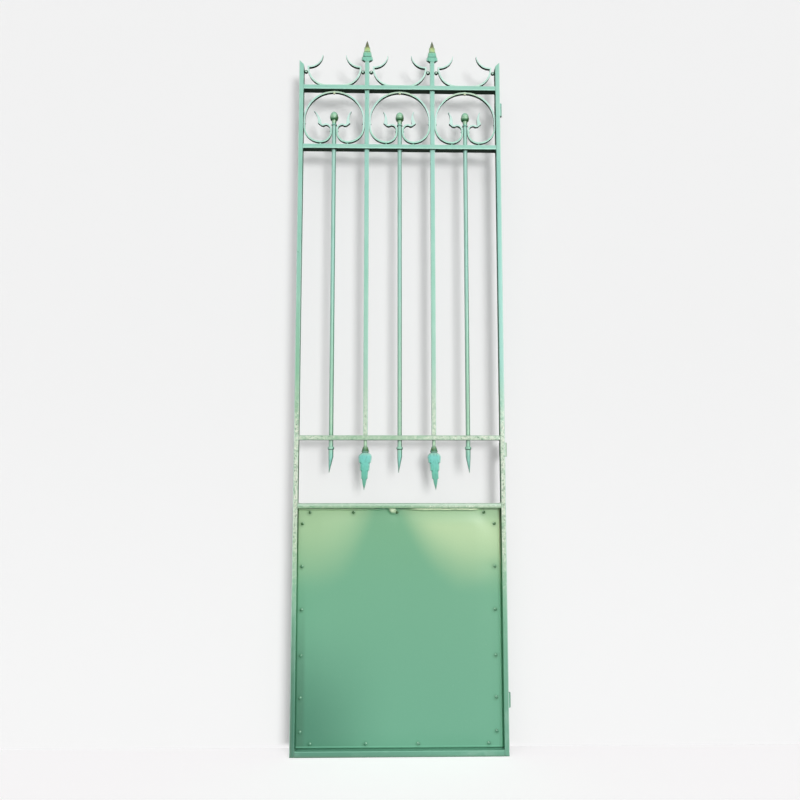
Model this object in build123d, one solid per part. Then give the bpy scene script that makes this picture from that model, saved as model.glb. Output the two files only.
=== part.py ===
from build123d import *
import math
import os

# Leaf of a tall forged garden gate. X runs along the width, the front faces -Y, +Z is up.
# The origin is on the outer side face of the hinge stile, at its foot and at mid depth.

# Overall frame
gate_width = 720.0
frame_depth = 30.0
stile_width = 16.0
latch_stile_above_rail = 93.0
hinge_stile_above_rail = 92.0
stile_top_drop = 16.0

# Rails, each given by the height of its top face and by its own thickness
rail_thickness = 16.0
bottom_rail_thickness = 20.0
lock_rail_thickness = 16.0
lock_rail_top = 820.0
spear_rail_top = 1050.0
frieze_rail_top = 2085.0
top_rail_top = 2306.0

# Upright bars
round_bar_diameter = 15.0
square_bar_side = 16.0
square_bar_above_rail = 94.0
round_bar_above_rail = 74.0
punch_clearance = 0.2

# Loop scrolls of the frieze
strap_thickness = 6.0
strap_depth = 12.0
strap_gap = 0.1
lobe_stand_off = 9.0
crown_stand_off = 3.0
lobe_outer_radius = 58.0
bar_contact_length = 8.0
flourish_rise_radius = 20.0
flourish_rise_turn = 84.0
flourish_crest_radius = 8.0
flourish_crest_turn = 41.0
flourish_trough_radius = 10.0
flourish_trough_turn = 75.0
flourish_end_run = 13.0
flourish_tip_rise = 41.0
flourish_tip_reaches = ((71.0, 61.0), (58.0, 50.0), (60.0, 53.0))
flourish_tip_sag = 5.0

# Horned crests on the top rail and the balls beside them
crest_flat_half = 27.0
horn_run = 52.0
horn_rise = 47.0
horn_sag = 13.5
horn_tip_thickness = 2.0
ball_diameter = 13.5
ball_below_horn = 15.0
ball_gap = 0.1

# Turned acorns on the round bars
acorn_ring_radius = 9.8
acorn_ring_height = 4.0
acorn_neck_radius = 6.7
acorn_neck_height = 8.0
acorn_cup_radius = 14.8
acorn_cup_height = 14.0
acorn_rim_height = 3.0
acorn_nut_radius = 13.2
acorn_nut_height = 23.0
acorn_nut_belly = 0.82
acorn_tip_radius = 1.2

# Leaf spears on the square bars
spear_half_widths = (20.8, 17.5, 12.0, 8.0)
spear_tier_heights = (24.0, 19.0, 12.0, 21.0)
spear_tier_step = 2.5
spear_root_height = 6.0
spear_thickness = 13.0

# Drop spears under the spear rail, their points knocked to one side
drop_neck_radius = 6.0
drop_neck_length = 22.0
socket_top_radius = 8.0
socket_bottom_radius = 12.5
socket_length = 19.0
blade_half_widths = (22.5, 18.5, 16.0, 11.5)
blade_tier_heights = (27.0, 27.0, 28.0, 38.0)
blade_tier_step = 2.0
blade_root_height = 9.0
blade_thickness = 11.0
blade_leans = (-4.2, 6.2)
leaf_point_thickness = 0.8
leaf_tip_belly = 0.68

# Drop spikes under the spear rail
spike_ring_radius = 11.0
spike_ring_height = 11.0
spike_ring_rounding = 4.4
spike_root_radius = 8.3
spike_shank_length = 24.0
spike_tip_radius = 0.8
spike_length = 78.0
spike_leans = (-6.0, -3.7, 4.2)

# Sheet panel, the strips behind it, and its rivets as shares of each row
sheet_thickness = 2.0
sheet_edge_gap = 0.5
strip_width = 32.0
strip_thickness = 4.0
rivet_head_radius = 5.5
rivet_head_height = 3.0
rivet_inset = 15.0
hinge_rivet_inset = 21.0
side_row_ends = 53.0
side_row_shares = (0.0, 0.16, 0.36, 0.58, 0.79, 1.0)
top_row_starts = 40.0
top_row_ends = 57.0
top_row_shares = (0.0, 0.25, 0.5, 1.0)
bottom_row_ends = 48.0
bottom_row_shares = (0.0, 0.31, 0.605, 1.0)

# Rivets and stubs that hold the loops
scroll_rivet_radius = 3.6
scroll_rivet_height = 2.4
crown_rivet_radius = 4.6
crown_rivet_height = 3.0
crown_rivet_gap = 0.15
stub_radius = 3.6

# Hinge knuckles on the back of the hinge stile
knuckle_length = 48.0
knuckle_radius = 8.0
knuckle_bore_radius = 4.5
knuckle_reach = 11.5
knuckle_leaf_thickness = 4.0
knuckle_centre_heights = (168.0, 1003.0, 2234.0)

# Values that follow from the sizes above
front = -frame_depth / 2
back = frame_depth / 2
clear_width = gate_width - 2 * stile_width
latch_inner = stile_width - gate_width
hinge_inner = -stile_width
gate_middle = -gate_width / 2
square_bar_pitch = (clear_width + square_bar_side) / 3
square_bar_xs = [gate_middle - square_bar_pitch / 2, gate_middle + square_bar_pitch / 2]
bay_half = (square_bar_pitch - square_bar_side) / 2
bay_centres = [gate_middle - square_bar_pitch, gate_middle, gate_middle + square_bar_pitch]
round_bar_radius = round_bar_diameter / 2
spear_rail_under = spear_rail_top - rail_thickness
top_rail_under = top_rail_top - rail_thickness
lock_rail_under = lock_rail_top - lock_rail_thickness
frieze_height = top_rail_under - frieze_rail_top
square_bar_top = top_rail_top + square_bar_above_rail
acorn_seat = frieze_rail_top + round_bar_above_rail
half_strap = strap_thickness / 2

# Centre line of a loop strap, measured from the bay's middle and the top of the frieze rail
loop_reach = bay_half - strap_gap - half_strap
loop_near_bar = round_bar_radius + strap_gap + half_strap
loop_crown = frieze_height - crown_stand_off - half_strap
loop_bottom = lobe_stand_off + half_strap
loop_side_low = loop_bottom + lobe_outer_radius
loop_side_high = loop_crown - loop_reach
lobe_inner_radius = loop_reach - lobe_outer_radius - loop_near_bar
bar_contact_low = loop_bottom + lobe_inner_radius

# Centre line of a crest arm, whose outer side touches the ball beside it
ball_radius = ball_diameter / 2
ball_centre_x = bay_half - ball_gap - ball_radius
crest_outer_radius = math.hypot(ball_centre_x - crest_flat_half, ball_below_horn) - ball_radius - ball_gap
crest_arm_radius = crest_outer_radius - half_strap
crest_arm_top = half_strap + crest_arm_radius


def box_between(x0, x1, y0, y1, z0, z1):
    """Rectangular block given by its faces."""
    block = Box(x1 - x0, y1 - y0, z1 - z0)
    return Pos((x0 + x1) / 2, (y0 + y1) / 2, (z0 + z1) / 2) * block


def flat_solid(face, depth):
    """A face drawn in front view, given a depth about the middle plane of the gate."""
    return extrude(Plane.XZ * face, depth / 2, both=True)


def make_stile(outer_x, inner_x, height):
    """Full-height upright whose top is cut on a slant, highest at its outer edge."""
    outline = make_face(Polyline(
        (outer_x, 0), (inner_x, 0), (inner_x, height - stile_top_drop), (outer_x, height), close=True
    ))
    return flat_solid(outline, frame_depth)


def make_rail(top, thickness, square_holes=(), round_holes=()):
    """Flat rail between the stiles, punched for the bars that pass through it."""
    rail = box_between(latch_inner, hinge_inner, front, back, top - thickness, top)
    square_side = square_bar_side + 2 * punch_clearance
    for x in square_holes:
        rail -= Pos(x, 0, top - thickness / 2) * Box(square_side, square_side, 2 * thickness)
    for x in round_holes:
        rail -= Pos(x, 0, top - thickness / 2) * Cylinder(round_bar_radius + punch_clearance, 2 * thickness)
    return rail


def make_square_bar(x):
    """Square bar from the underside of the spear rail to the foot of its leaf spear."""
    half = square_bar_side / 2
    return box_between(x - half, x + half, -half, half, spear_rail_under, square_bar_top)


def make_round_bar(x):
    """Round bar from the underside of the spear rail to the seat of its acorn."""
    length = acorn_seat - spear_rail_under
    return Pos(x, 0, spear_rail_under + length / 2) * Cylinder(round_bar_radius, length)


def make_acorn(x):
    """Turned acorn: a ring on the bar end, a neck, a flared cup and the nut."""
    neck_top = acorn_ring_height + acorn_neck_height
    cup_top = neck_top + acorn_cup_height
    rim_top = cup_top + acorn_rim_height
    tip = rim_top + acorn_nut_height
    ring = Line((acorn_ring_radius, 0), (acorn_ring_radius, acorn_ring_height))
    shelf = Line(ring @ 1, (acorn_neck_radius, acorn_ring_height))
    neck = Line(shelf @ 1, (acorn_neck_radius, neck_top))
    cup = TangentArc(neck @ 1, (acorn_cup_radius, cup_top), tangent=(0, 1))
    rim = Line(cup @ 1, (acorn_cup_radius, rim_top))
    ledge = Line(rim @ 1, (acorn_nut_radius, rim_top))
    belly = (acorn_nut_belly * acorn_nut_radius, rim_top + acorn_nut_height / 2)
    nut = ThreePointArc(ledge @ 1, belly, (acorn_tip_radius, tip))
    nib = Line(nut @ 1, (0, tip))
    axis = Line((0, tip), (0, 0))
    foot = Line((0, 0), ring @ 0)
    profile = Plane.XZ * make_face([ring, shelf, neck, cup, rim, ledge, nut, nib, axis, foot])
    return Pos(x, 0, acorn_seat) * revolve(profile, Axis.Z)


def leaf_outline(root_half, root_height, half_widths, tier_heights, step, lean):
    """Leaf in front view: a root, tiers that each end in a small step, and a rounded point."""
    right = [(root_half, 0)]
    z = root_height
    for half_width, next_width, tier_height in zip(half_widths, half_widths[1:], tier_heights):
        right += [(half_width, z), (next_width + step, z + tier_height)]
        z += tier_height
    tip = z + tier_heights[-1]
    right += [(half_widths[-1], z), (leaf_tip_belly * half_widths[-1], (z + tip) / 2)]
    left = [(-u, v) for u, v in reversed(right)]
    outline = [(u + lean * v / tip, v) for u, v in [*right, (0, tip), *left]]
    return make_face(Polyline(*outline, close=True)), tip


def make_leaf(root_half, root_height, half_widths, tier_heights, step, thickness, lean=0.0):
    """Leaf standing on its root, with a midrib, thin edges and a drawn-out point."""
    outline, tip = leaf_outline(root_half, root_height, half_widths, tier_heights, step, lean)
    flare = max(half_widths) + abs(lean)
    ridge = thickness / 2
    rhombus = make_face(Polyline((flare, 0), (0, ridge), (-flare, 0), (0, -ridge), close=True))
    blank = extrude(rhombus, tip) + extrude(Rectangle(2 * root_half, 2 * root_half), root_height)
    point = leaf_point_thickness / 2
    side = make_face(Polyline(
        (-root_half, 0), (root_half, 0), (ridge, root_height),
        (point, tip), (-point, tip), (-ridge, root_height), close=True
    ))
    return blank & flat_solid(outline, frame_depth) & extrude(Plane.YZ * side, flare, both=True)


def make_top_spear(x):
    """Leaf spear on the end of a square bar."""
    leaf = make_leaf(
        square_bar_side / 2, spear_root_height, spear_half_widths, spear_tier_heights,
        spear_tier_step, spear_thickness,
    )
    return Pos(x, 0, square_bar_top) * leaf


def make_drop_spear(x, lean):
    """Neck, cone socket and long leaf blade hanging under the spear rail."""
    neck = Pos(0, 0, -drop_neck_length / 2) * Cylinder(drop_neck_radius, drop_neck_length)
    socket = Pos(0, 0, -drop_neck_length - socket_length / 2) * Cone(
        socket_bottom_radius, socket_top_radius, socket_length
    )
    leaf = make_leaf(
        socket_top_radius, blade_root_height, blade_half_widths, blade_tier_heights,
        blade_tier_step, blade_thickness, lean,
    )
    blade = Pos(0, 0, -drop_neck_length - socket_length) * Rot(180, 0, 0) * leaf
    return Pos(x, 0, spear_rail_under) * (neck + socket + blade)


def make_drop_spike(x, lean):
    """End of a round bar with a ring collar and a tapered spike, its tip knocked to one side."""
    neck = Pos(0, 0, -drop_neck_length / 2) * Cylinder(round_bar_radius, drop_neck_length)
    ring_middle = -drop_neck_length - spike_ring_height / 2
    ring = Pos(0, 0, ring_middle) * Cylinder(spike_ring_radius, spike_ring_height)
    ring = fillet(ring.edges().filter_by(GeomType.CIRCLE), spike_ring_rounding)
    root = -drop_neck_length - spike_ring_height
    shank = Pos(0, 0, root - spike_shank_length / 2) * Cylinder(spike_root_radius, spike_shank_length)
    point = loft([
        Pos(0, 0, root - spike_shank_length) * Circle(spike_root_radius),
        Pos(lean, 0, root - spike_length) * Circle(spike_tip_radius),
    ])
    return Pos(x, 0, spear_rail_under) * (neck + ring + shank + point)


def strap_run(edges):
    """Flat strap of even thickness that follows a chain of edges."""
    return flat_solid(trace(edges, line_width=strap_thickness), strap_depth)


def bowed(start, end, sag):
    """Arc from start to end that bulges to the left of its way by the sag."""
    way = (end - start).normalized()
    return ThreePointArc(start, (start + end) / 2 + Vector(-way.Y, way.X) * sag, end)


def make_horn(outer_root, inner_root, tip, sag):
    """Drawn-out strap end between two bowed edges, from a wide root to a blunt tip."""
    blunt_half = Vector(horn_tip_thickness / 2, 0)
    outer_edge = bowed(outer_root, tip + blunt_half, sag)
    blunt = Line(outer_edge @ 1, tip - blunt_half)
    inner_edge = bowed(inner_root, tip - blunt_half, sag)
    base = Line(inner_root, outer_root)
    return flat_solid(make_face([outer_edge, blunt, inner_edge, base]), strap_depth)


def make_loop_half(tip_reach):
    """Right half of a frieze loop, from its crown round the lobe to the thorn of its flourish."""
    shoulder = JernArc((0, loop_crown), (1, 0), loop_reach, -90)
    side = Line(shoulder @ 1, (loop_reach, loop_side_low))
    lobe_outer = JernArc(side @ 1, (0, -1), lobe_outer_radius, -90)
    lobe_inner = JernArc(lobe_outer @ 1, (-1, 0), lobe_inner_radius, -90)
    contact = Line(lobe_inner @ 1, lobe_inner @ 1 + Vector(0, bar_contact_length))
    rise = JernArc(contact @ 1, (0, 1), flourish_rise_radius, -flourish_rise_turn)
    crest = JernArc(rise @ 1, rise % 1, flourish_crest_radius, -flourish_crest_turn)
    trough = JernArc(crest @ 1, crest % 1, flourish_trough_radius, flourish_trough_turn)
    heading = trough % 1
    end_run = Line(trough @ 1, trough @ 1 + heading * flourish_end_run)
    sideways = Vector(-heading.Y, heading.X) * half_strap
    tip = Vector(tip_reach, (end_run @ 1).Y + flourish_tip_rise)
    horn = make_horn(end_run @ 1 - sideways, trough @ 1 + sideways, tip, flourish_tip_sag)
    return strap_run([shoulder, side, lobe_outer, lobe_inner, contact, rise, crest, trough, end_run]) + horn


def make_loop_scroll(centre, tip_reaches):
    """Frieze loop between two uprights, standing clear of both rails."""
    left_reach, right_reach = tip_reaches
    left = mirror(make_loop_half(left_reach), Plane.YZ)
    return Pos(centre, 0, frieze_rail_top) * (make_loop_half(right_reach) + left)


def make_crest_half():
    """Right half of a crest: flat foot on the rail, rising arm, cusp and inward horn."""
    foot = Line((0, half_strap), (crest_flat_half, half_strap))
    arm = JernArc(foot @ 1, (1, 0), crest_arm_radius, 90)
    end = arm @ 1
    sideways = Vector(half_strap, 0)
    cusp = end + sideways + Vector(0, strap_thickness)
    tip = end + Vector(-horn_run, horn_rise)
    horn = make_horn(cusp, end - sideways, tip, horn_sag)
    corner = make_face(Polyline(end - sideways, end + sideways, cusp, close=True))
    return strap_run([foot, arm]) + horn + flat_solid(corner, strap_depth)


def make_crest(centre):
    """Horned crest standing on the top rail in one bay."""
    half = make_crest_half()
    return Pos(centre, 0, top_rail_top) * (half + mirror(half, Plane.YZ))


def make_crest_balls():
    """Small balls between the crests and the uprights."""
    height = top_rail_top + crest_arm_top - ball_below_horn
    balls = []
    for centre in bay_centres:
        for side in (-1, 1):
            balls.append(Pos(centre + side * ball_centre_x, 0, height) * Sphere(ball_radius))
    return balls


def rivet_head(radius, height):
    """Low dome on the XY plane, its crown towards +Z."""
    sphere_radius = (radius**2 + height**2) / (2 * height)
    ball = Pos(0, 0, height - sphere_radius) * Sphere(sphere_radius)
    return ball & Pos(0, 0, height) * Box(4 * radius, 4 * radius, 2 * height)


def make_scroll_rivets():
    """Rivet heads inside each loop, and the stubs between the loop and its rails."""
    head = rivet_head(scroll_rivet_radius, scroll_rivet_height)
    crown_head = Rot(180, 0, 0) * rivet_head(crown_rivet_radius, crown_rivet_height)
    side_x = loop_reach - half_strap
    side_z = frieze_rail_top + (loop_side_low + loop_side_high) / 2
    bar_x = loop_near_bar + half_strap
    bar_z = frieze_rail_top + bar_contact_low + bar_contact_length / 2
    lobe_x = loop_reach - lobe_outer_radius
    pieces = []
    for centre in bay_centres:
        for side in (-1, 1):
            pieces.append(Pos(centre + side * side_x, 0, side_z) * Rot(0, -90 * side, 0) * head)
            pieces.append(Pos(centre + side * bar_x, 0, bar_z) * Rot(0, 90 * side, 0) * head)
            stub = Cylinder(stub_radius, lobe_stand_off)
            pieces.append(Pos(centre + side * lobe_x, 0, frieze_rail_top + lobe_stand_off / 2) * stub)
        crown_stub = Cylinder(stub_radius, crown_stand_off)
        pieces.append(Pos(centre, 0, top_rail_under - crown_stand_off / 2) * crown_stub)
        crown_head_z = frieze_rail_top + loop_crown - half_strap - crown_rivet_gap
        pieces.append(Pos(centre, 0, crown_head_z) * crown_head)
    return pieces


def make_panel_sheet():
    """Sheet steel panel in front of its strips, a hair inside the frame."""
    sheet_back = back - strip_thickness
    return box_between(
        latch_inner + sheet_edge_gap, hinge_inner - sheet_edge_gap,
        sheet_back - sheet_thickness, sheet_back,
        bottom_rail_thickness + sheet_edge_gap, lock_rail_under - sheet_edge_gap,
    )


def make_strips():
    """Flat strips behind the four edges of the sheet."""
    low = bottom_rail_thickness
    high = lock_rail_under
    y0 = back - strip_thickness
    left_in = latch_inner + strip_width
    right_in = hinge_inner - strip_width
    return {
        "panel_strip_latch_side": box_between(latch_inner, left_in, y0, back, low, high),
        "panel_strip_hinge_side": box_between(right_in, hinge_inner, y0, back, low, high),
        "panel_strip_bottom": box_between(left_in, right_in, y0, back, low, low + strip_width),
        "panel_strip_top": box_between(left_in, right_in, y0, back, high - strip_width, high),
    }


def along(start, end, shares):
    """Positions at the given shares of the way from start to end."""
    return [start + (end - start) * share for share in shares]


def make_panel_rivets():
    """Round rivet heads along the edges of the sheet; one of the top row is gone."""
    low = bottom_rail_thickness
    left = latch_inner
    right = hinge_inner
    spots = []
    for z in along(low + side_row_ends, lock_rail_under - side_row_ends, side_row_shares):
        spots += [(left + rivet_inset, z), (right - hinge_rivet_inset, z)]
    for x in along(left + top_row_starts, right - top_row_ends, top_row_shares):
        spots.append((x, lock_rail_under - rivet_inset))
    for x in along(left + bottom_row_ends, right - bottom_row_ends, bottom_row_shares):
        spots.append((x, low + rivet_inset))
    head = Rot(90, 0, 0) * rivet_head(rivet_head_radius, rivet_head_height)
    sheet_front = back - strip_thickness - sheet_thickness
    return [Pos(x, sheet_front, z) * head for x, z in spots]


def make_knuckle(centre_z):
    """Hinge barrel with its leaf on the back of the hinge stile."""
    centre_x = knuckle_reach - knuckle_radius
    centre_y = back + knuckle_radius
    barrel = Pos(centre_x, centre_y, centre_z) * Cylinder(knuckle_radius, knuckle_length)
    leaf = box_between(
        -stile_width, centre_x, back, back + knuckle_leaf_thickness,
        centre_z - knuckle_length / 2, centre_z + knuckle_length / 2,
    )
    bore = Pos(centre_x, centre_y, centre_z) * Cylinder(knuckle_bore_radius, 2 * knuckle_length)
    return barrel + leaf - bore


def build_parts():
    """All sub-parts by name."""
    parts = {
        "latch_stile": make_stile(-gate_width, latch_inner, top_rail_top + latch_stile_above_rail),
        "hinge_stile": make_stile(0, hinge_inner, top_rail_top + hinge_stile_above_rail),
        "bottom_rail": make_rail(bottom_rail_thickness, bottom_rail_thickness),
        "lock_rail": make_rail(lock_rail_top, lock_rail_thickness),
        "spear_rail": make_rail(spear_rail_top, rail_thickness, square_bar_xs, bay_centres),
        "frieze_rail": make_rail(frieze_rail_top, rail_thickness, square_bar_xs, bay_centres),
        "top_rail": make_rail(top_rail_top, rail_thickness, square_bar_xs),
        "panel_sheet": make_panel_sheet(),
        "panel_rivets": Compound(children=make_panel_rivets()),
        "scroll_rivets": Compound(children=make_scroll_rivets()),
        "crest_balls": Compound(children=make_crest_balls()),
    }
    parts.update(make_strips())
    for number, x in enumerate(square_bar_xs, start=1):
        parts[f"square_bar_{number}"] = make_square_bar(x)
        parts[f"top_spear_{number}"] = make_top_spear(x)
        parts[f"drop_spear_{number}"] = make_drop_spear(x, blade_leans[number - 1])
    for number, x in enumerate(bay_centres, start=1):
        parts[f"round_bar_{number}"] = make_round_bar(x)
        parts[f"acorn_{number}"] = make_acorn(x)
        parts[f"drop_spike_{number}"] = make_drop_spike(x, spike_leans[number - 1])
        parts[f"loop_scroll_{number}"] = make_loop_scroll(x, flourish_tip_reaches[number - 1])
        parts[f"crest_{number}"] = make_crest(x)
    for place, z in zip(("low", "middle", "high"), knuckle_centre_heights):
        parts[f"hinge_knuckle_{place}"] = make_knuckle(z)
    return parts


os.makedirs("parts", exist_ok=True)
for name, shape in build_parts().items():
    export_step(shape, f"parts/{name}.step")
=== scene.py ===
import math
import random
from fnmatch import fnmatch
from types import SimpleNamespace

import bmesh
import bpy
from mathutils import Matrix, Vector, noise


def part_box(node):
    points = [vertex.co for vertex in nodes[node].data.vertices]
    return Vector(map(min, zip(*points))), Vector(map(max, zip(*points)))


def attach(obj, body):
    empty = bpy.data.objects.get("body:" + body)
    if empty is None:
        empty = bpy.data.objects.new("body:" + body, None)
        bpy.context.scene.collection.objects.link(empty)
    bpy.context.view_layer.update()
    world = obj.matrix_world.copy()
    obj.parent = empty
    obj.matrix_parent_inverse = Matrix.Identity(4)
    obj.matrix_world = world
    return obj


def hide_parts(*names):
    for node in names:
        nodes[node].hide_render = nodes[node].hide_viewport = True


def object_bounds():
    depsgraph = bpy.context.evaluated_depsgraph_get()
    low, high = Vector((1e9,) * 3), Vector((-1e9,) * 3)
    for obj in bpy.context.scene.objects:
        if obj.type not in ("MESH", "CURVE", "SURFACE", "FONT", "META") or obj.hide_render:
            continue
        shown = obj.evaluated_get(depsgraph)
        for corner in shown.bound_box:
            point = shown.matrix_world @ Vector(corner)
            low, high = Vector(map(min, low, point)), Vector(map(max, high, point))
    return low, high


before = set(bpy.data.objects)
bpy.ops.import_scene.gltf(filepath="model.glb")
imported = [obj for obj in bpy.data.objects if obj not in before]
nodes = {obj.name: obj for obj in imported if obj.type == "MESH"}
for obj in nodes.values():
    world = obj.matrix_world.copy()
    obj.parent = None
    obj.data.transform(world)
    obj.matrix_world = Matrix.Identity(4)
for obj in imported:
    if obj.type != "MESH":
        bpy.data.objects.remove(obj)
cad_low, cad_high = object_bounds()
BODY = "root"

# Places taken from the frame, in metres
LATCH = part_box("latch_stile")
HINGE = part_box("hinge_stile")
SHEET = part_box("panel_sheet")
RAILS = [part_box(f"{name}_rail") for name in ("top", "frieze", "spear", "lock", "bottom")]
TOP_RAIL, FRIEZE_RAIL, SPEAR_RAIL, LOCK_RAIL, BOTTOM_RAIL = RAILS
GATE_MIDDLE = (LATCH[0].x + HINGE[1].x) / 2
GATE_HALF = (HINGE[1].x - LATCH[0].x) / 2
GATE_TOP = cad_high.z

# Camera, which stands a little left of the gate's middle and looks slightly up
CAMERA_PLACE = (-0.407, -2.458, 0.920)
CAMERA_YAW = math.radians(1.124)
CAMERA_PITCH = math.radians(5.863)
CAMERA_LENS = 32.27
SENSOR_WIDTH = 36.0

# The gloss coat, and what it adds to every colour by reflecting the studio
COAT = 0.2
COAT_ROUGHNESS = 0.25
SPECULAR = 0.4
GLOSS_LIFT = 0.035


def paint(*seen):
    """Linear colour under a gloss coat that is seen as the given sRGB value, from 0 to 255."""
    shares = [value / 255 for value in seen]
    linear = [share / 12.92 if share <= 0.04045 else ((share + 0.055) / 1.055) ** 2.4 for share in shares]
    return (*[max(0.0, value - GLOSS_LIFT) for value in linear], 1.0)


class Nodes:
    """Short way to build the node tree of a world, or of a material whose colour is laid on in coats."""

    def __init__(self, owner):
        owner.use_nodes = True
        self.owner = owner
        self.colour = None
        self.tree = owner.node_tree
        self.tree.nodes.clear()

    def add(self, kind, inputs=None, **settings):
        node = self.tree.nodes.new("ShaderNode" + kind)
        for key, value in settings.items():
            setattr(node, key, value)
        for key, value in (inputs or {}).items():
            self.put(node.inputs[key], value)
        return node

    def put(self, socket, value):
        if hasattr(value, "is_output"):
            self.tree.links.new(value, socket)
        else:
            socket.default_value = value

    def math(self, operation, *values, clamp=False):
        node = self.add("Math", operation=operation, use_clamp=clamp)
        for socket, value in zip(node.inputs, values):
            self.put(socket, value)
        return node.outputs[0]

    def times(self, product, *factors):
        for factor in factors:
            product = self.math("MULTIPLY", product, factor)
        return product

    def plus(self, a, b):
        return self.math("ADD", a, b)

    def less(self, a, b):
        return self.math("SUBTRACT", a, b)

    def absolute(self, value):
        return self.math("ABSOLUTE", value)

    def fade(self, value, low, high):
        """0 at low, 1 at high, smooth between; low may be above high."""
        node = self.add("MapRange", {"Value": value, "From Min": low, "From Max": high},
                        interpolation_type="SMOOTHSTEP")
        return node.outputs[0]

    def band(self, value, low, high, soft):
        """1 between low and high, fading to 0 over the soft distance on both sides."""
        return self.times(self.fade(value, low - soft, low), self.fade(value, high + soft, high))

    def patches(self, value, edge, crispness):
        """1 in patches where the value is over the edge, 0 elsewhere."""
        return self.math("MULTIPLY", self.less(value, edge), crispness, clamp=True)

    def place(self, stretch=(1, 1, 1)):
        """Object coordinates, squeezed along an axis where the stretch is under 1."""
        spot = self.add("TexCoord").outputs["Object"]
        if stretch == (1, 1, 1):
            return spot
        scaled = self.add("VectorMath", operation="MULTIPLY")
        self.put(scaled.inputs[0], spot)
        self.put(scaled.inputs[1], stretch)
        return scaled.outputs[0]

    def normal(self):
        return self.add("NewGeometry").outputs["Normal"]

    def mark(self, name):
        """Value that a mesh carries at its points."""
        return self.add("Attribute", attribute_name=name).outputs["Fac"]

    def axes(self, vector):
        split = self.add("SeparateXYZ", {"Vector": vector})
        return split.outputs["X"], split.outputs["Y"], split.outputs["Z"]

    def noise(self, kind, spot=None):
        """Noise of a kind, at the object's coordinates unless another spot is given."""
        inputs = {"Vector": spot or self.place(), "Roughness": 0.55}
        inputs.update(zip(("Scale", "Detail", "Roughness", "Distortion"), NOISES[kind]))
        return self.add("TexNoise", inputs).outputs["Fac"]

    def mix(self, share, a, b, blend="MIX"):
        node = self.add("Mix", data_type="RGBA", blend_type=blend)
        self.put(node.inputs["Factor"], share)
        self.put(node.inputs[6], a)
        self.put(node.inputs[7], b)
        return node.outputs[2]

    def cover(self, share, tone, blend="MIX"):
        """Lays a tone over the colour where the share is above 0."""
        self.colour = self.mix(share, self.colour, tone, blend)

    def tint(self, share, strength, *seen):
        """Lays a coat of the given strength and seen colour over the colour so far."""
        self.cover(self.times(share, strength), paint(*seen))

    def tones(self, height, stops):
        """Colour by height, from stops given in metres."""
        node = self.add("ValToRGB", {"Fac": self.times(height, 1 / GATE_TOP)})
        elements = node.color_ramp.elements
        while len(elements) < len(stops):
            elements.new(0.5)
        for element, (stop, *seen) in zip(elements, stops):
            element.position = stop / GATE_TOP
            element.color = paint(*seen)
        return node.outputs[0]

    def crevice(self, reach, low=0.35, high=0.85):
        """1 deep in a corner, 0 in the open."""
        open_share = self.add("AmbientOcclusion", {"Distance": reach}, samples=6).outputs["AO"]
        return self.fade(open_share, high, low)

    def inward(self):
        """1 left of the gate's middle, -1 right of it."""
        x = self.axes(self.place())[0]
        return self.less(1.0, self.times(self.fade(x, GATE_MIDDLE - 0.01, GATE_MIDDLE + 0.01), 2.0))

    def toward(self, direction, start, full, mirror=False):
        """How much a surface faces a direction, from the start cosine to the full one."""
        normal = self.normal()
        if mirror:
            across, facing, tilt = self.axes(normal)
            normal = self.add("CombineXYZ", {
                "X": self.times(across, self.inward()), "Y": facing, "Z": tilt,
            }).outputs[0]
        product = self.add("VectorMath", operation="DOT_PRODUCT")
        self.put(product.inputs[0], normal)
        self.put(product.inputs[1], direction)
        return self.fade(product.outputs["Value"], start, full)

    def mix_shaders(self, share, a, b):
        node = self.add("MixShader")
        for socket, value in zip(node.inputs, (share, a, b)):
            self.put(socket, value)
        return node.outputs[0]

    def finish(self, roughness, height, distance, dull=0.0):
        """Glossy paint shader with bump, wired to the output; it loses its gloss where it is dull."""
        bump = self.add("Bump", {"Height": height, "Distance": distance, "Strength": 1.0})
        shader = self.add("BsdfPrincipled", {
            "Base Color": self.colour, "Roughness": self.math("MAXIMUM", roughness, dull),
            "Normal": bump.outputs[0], "Coat Weight": self.times(self.less(1.0, dull), COAT),
            "Coat Roughness": COAT_ROUGHNESS, "Specular IOR Level": SPECULAR,
        })
        self.add("OutputMaterial", {"Surface": shader.outputs[0]})
        return self.owner


def even(*seen):
    """The same tone at every height."""
    return [(0.0, *seen), (GATE_TOP, *seen)]


# Paint of each finish as it is seen: height in metres, then red, green and blue
FRAME_TONES = [
    (0.00, 118, 172, 148),
    (0.30, 122, 178, 150),
    (0.52, 136, 190, 158),
    (0.70, 174, 208, 172),
    (0.95, 206, 228, 204),
    (1.06, 190, 217, 190),
    (1.15, 156, 197, 163),
    (1.30, 147, 199, 167),
    (1.60, 151, 204, 183),
    (1.90, 156, 212, 194),
    (2.45, 153, 210, 190),
]
LOCK_TONES = even(142, 184, 148)
BAR_TONES = [
    (1.00, 196, 218, 194),
    (1.15, 185, 211, 188),
    (1.30, 165, 210, 190),
    (1.60, 155, 211, 190),
    (2.00, 157, 212, 198),
    (2.45, 150, 210, 190),
]
ROUND_BAR_TONES = [
    (1.00, 168, 214, 182),
    (1.30, 166, 216, 190),
    (1.60, 166, 218, 202),
    (2.00, 172, 220, 206),
    (2.45, 168, 218, 202),
]
SCROLL_TONES = [
    (2.05, 180, 230, 210),
    (2.14, 182, 232, 212),
    (2.17, 208, 242, 232),
    (2.21, 208, 242, 232),
    (2.26, 186, 236, 218),
    (2.281, 212, 236, 206),
    (2.292, 208, 238, 214),
    (2.33, 206, 244, 230),
]
BALL_TONES = even(88, 140, 112)
KNOB_TONES = even(222, 232, 190)
ACORN_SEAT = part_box("acorn_1")[0].z
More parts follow.
